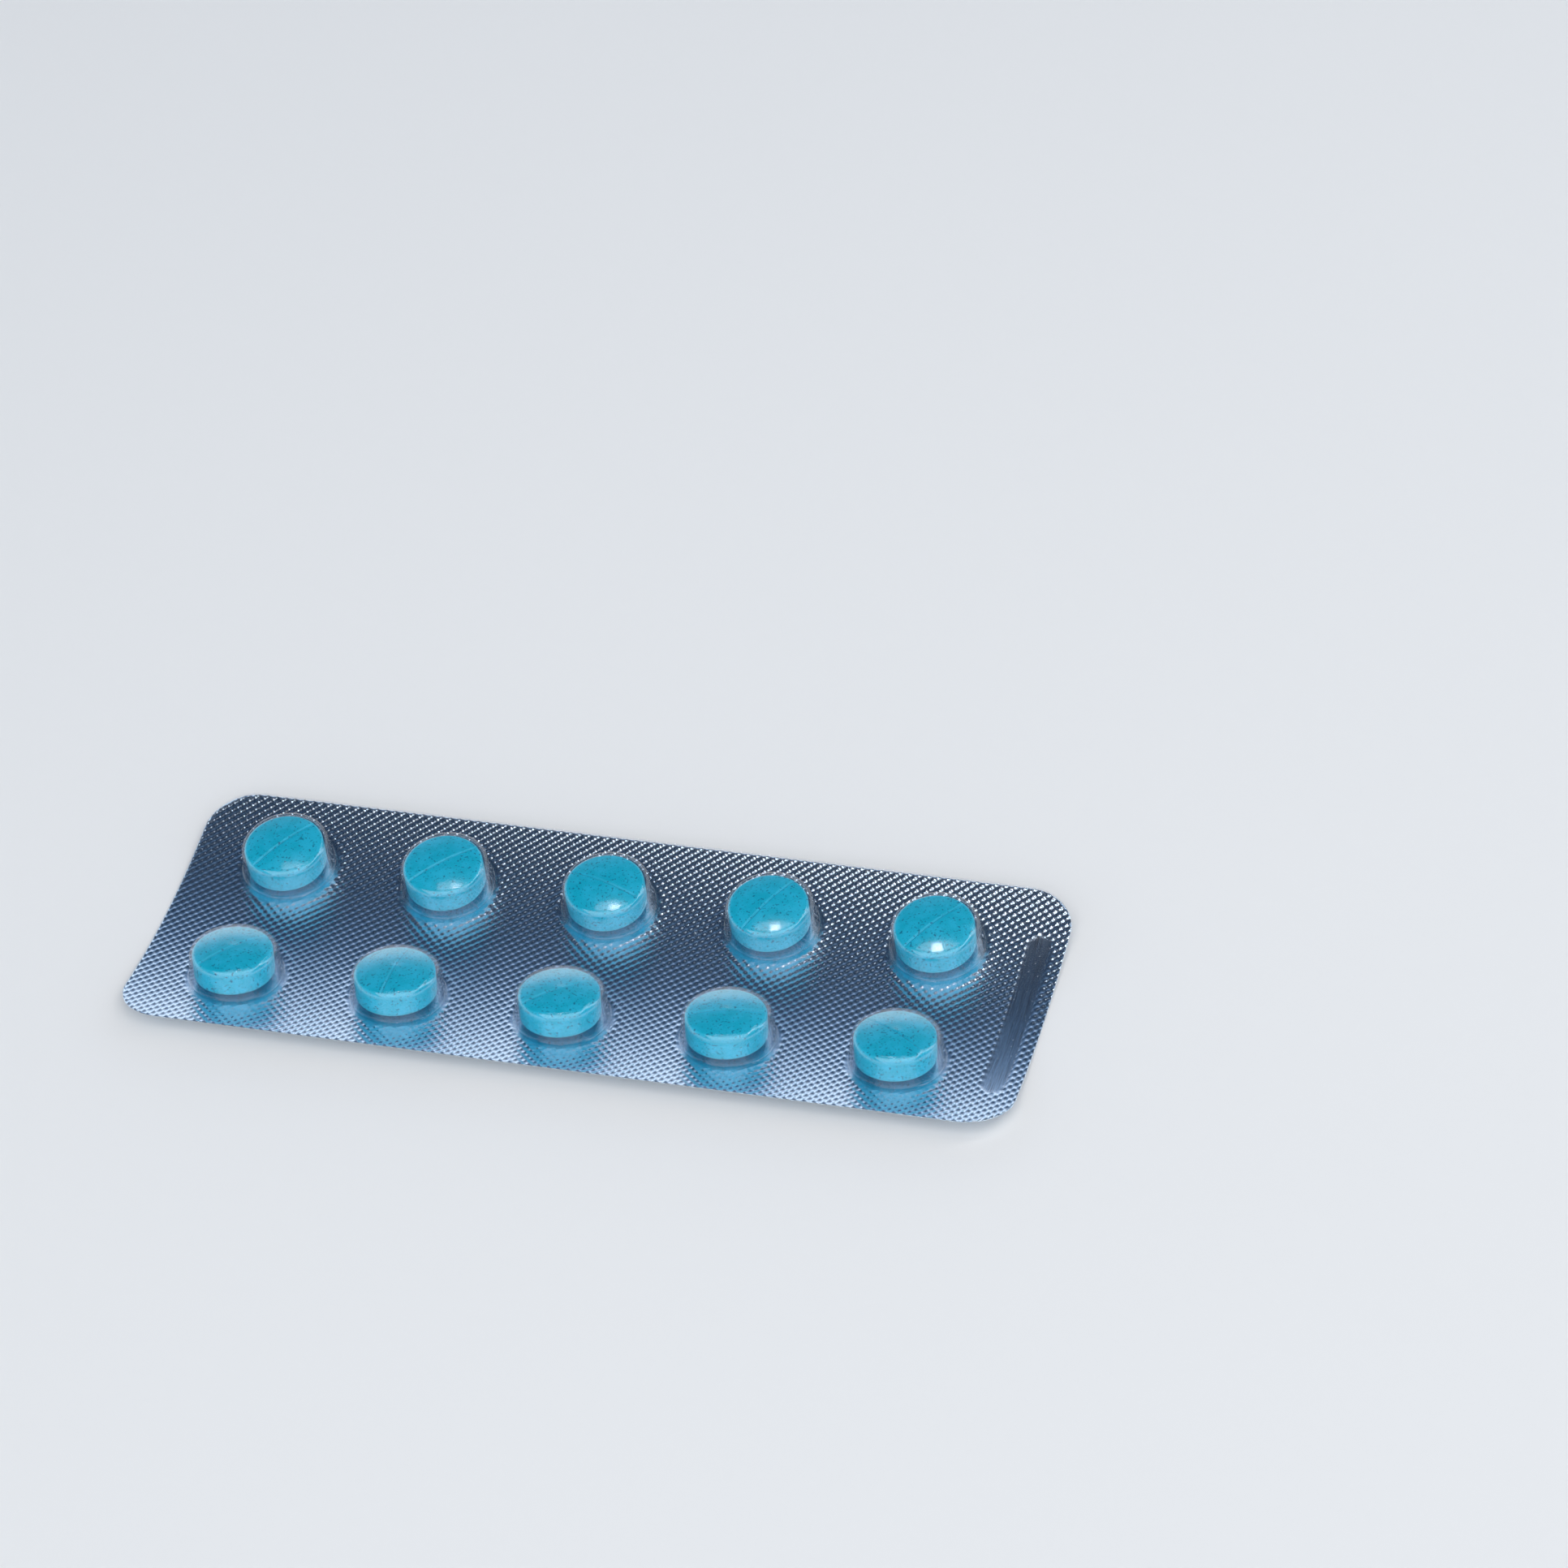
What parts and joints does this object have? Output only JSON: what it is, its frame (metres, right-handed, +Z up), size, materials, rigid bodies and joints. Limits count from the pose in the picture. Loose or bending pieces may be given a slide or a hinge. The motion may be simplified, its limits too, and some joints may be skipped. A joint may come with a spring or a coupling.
{
  "type": "pill blister pack",
  "caption": "Push-through blister pack: a clear formed film with two rows of round pockets, each holding a round scored tablet, sealed to a knurled foil.",
  "frame": {"origin": "middle of the line on which the curled pack rests, at the centre of its length", "axes": "+X along the pack towards the end with the smooth strip, +Y across it towards the back row, +Z up, out of the pockets"},
  "size_m": [0.091, 0.034, 0.0047],
  "materials": {
    "clear_film": "clear, glossy thermoformed film",
    "foil": "bright hard-temper foil, knurled by the sealing plate",
    "tablet": "smooth satin tablet surface with fine darker specks"
  },
  "bodies": {
    "root": {"forming_film": "clear_film", "lidding_foil": "foil", "tablet_back_1": "tablet", "tablet_back_2": "tablet", "tablet_back_3": "tablet", "tablet_back_4": "tablet", "tablet_back_5": "tablet", "tablet_front_1": "tablet", "tablet_front_2": "tablet", "tablet_front_3": "tablet", "tablet_front_4": "tablet", "tablet_front_5": "tablet"}
  },
  "joints": []
}
